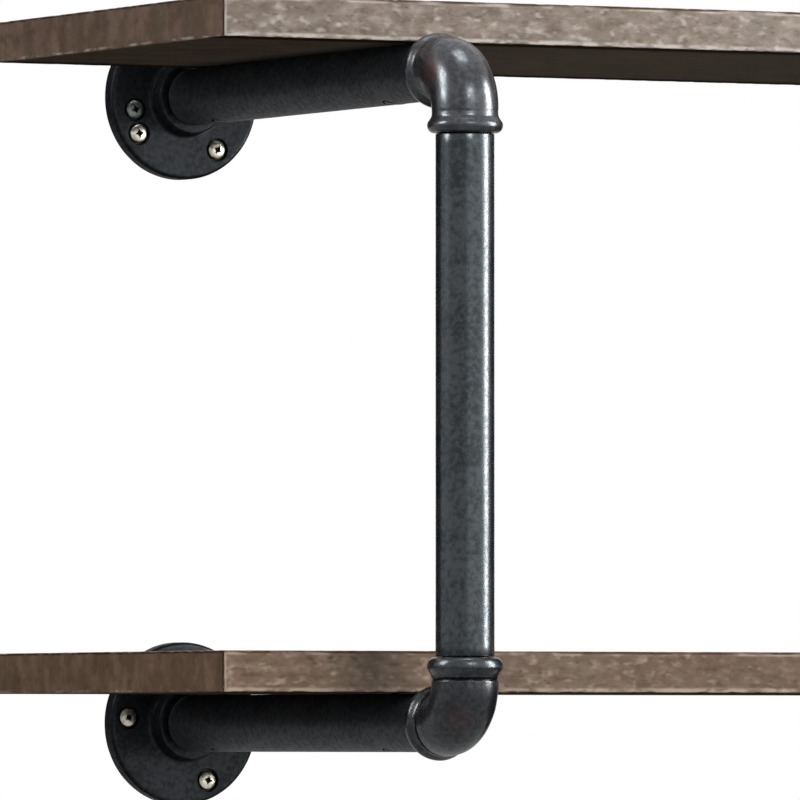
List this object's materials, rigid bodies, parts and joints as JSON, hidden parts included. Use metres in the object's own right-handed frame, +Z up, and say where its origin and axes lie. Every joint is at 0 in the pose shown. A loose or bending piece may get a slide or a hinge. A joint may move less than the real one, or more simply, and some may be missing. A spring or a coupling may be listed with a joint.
{
  "type": "wall shelf",
  "caption": "Two-tier wall shelf: wooden boards carried on brackets of dark metal tube with beaded elbows and round wall flanges.",
  "frame": {"origin": "on the wall's face, in the middle of the rectangle of four flanges", "axes": "+X along the wall and the boards, +Y into the wall, +Z up"},
  "size_m": [0.6, 0.3247, 0.354],
  "materials": {
    "tube": "dark gunmetal coating, satin, faintly mottled",
    "elbow": "dark gunmetal coating over cast metal, satin",
    "flange": "near-black coating over cast metal, satin",
    "board": "grey-brown stained wood, matt, worn pale along the edges",
    "wall_screw": "bright zinc plate",
    "board_screw": "black, satin"
  },
  "bodies": {
    "root": {"left_upper_flange": "flange", "left_lower_flange": "flange", "right_upper_flange": "flange", "right_lower_flange": "flange", "left_upper_arm": "tube", "left_lower_arm": "tube", "right_upper_arm": "tube", "right_lower_arm": "tube", "left_upper_elbow": "elbow", "left_lower_elbow": "elbow", "right_upper_elbow": "elbow", "right_lower_elbow": "elbow", "left_upright": "tube", "right_upright": "tube", "upper_board": "board", "lower_board": "board", "left_upper_wall_screw_1": "wall_screw", "left_upper_wall_screw_2": "wall_screw", "left_upper_wall_screw_3": "wall_screw", "left_upper_wall_screw_4": "wall_screw", "left_upper_wall_screw_5": "wall_screw", "left_lower_wall_screw_1": "wall_screw", "left_lower_wall_screw_2": "wall_screw", "left_lower_wall_screw_3": "wall_screw", "right_upper_wall_screw_1": "wall_screw", "right_upper_wall_screw_2": "wall_screw", "right_upper_wall_screw_3": "wall_screw", "right_upper_wall_screw_4": "wall_screw", "right_upper_wall_screw_5": "wall_screw", "right_lower_wall_screw_1": "wall_screw", "right_lower_wall_screw_2": "wall_screw", "right_lower_wall_screw_3": "wall_screw", "left_upper_board_screw_front": "board_screw", "left_upper_board_screw_back": "board_screw", "left_lower_board_screw_front": "board_screw", "left_lower_board_screw_back": "board_screw", "right_upper_board_screw_front": "board_screw", "right_upper_board_screw_back": "board_screw", "right_lower_board_screw_front": "board_screw", "right_lower_board_screw_back": "board_screw"}
  },
  "joints": []
}
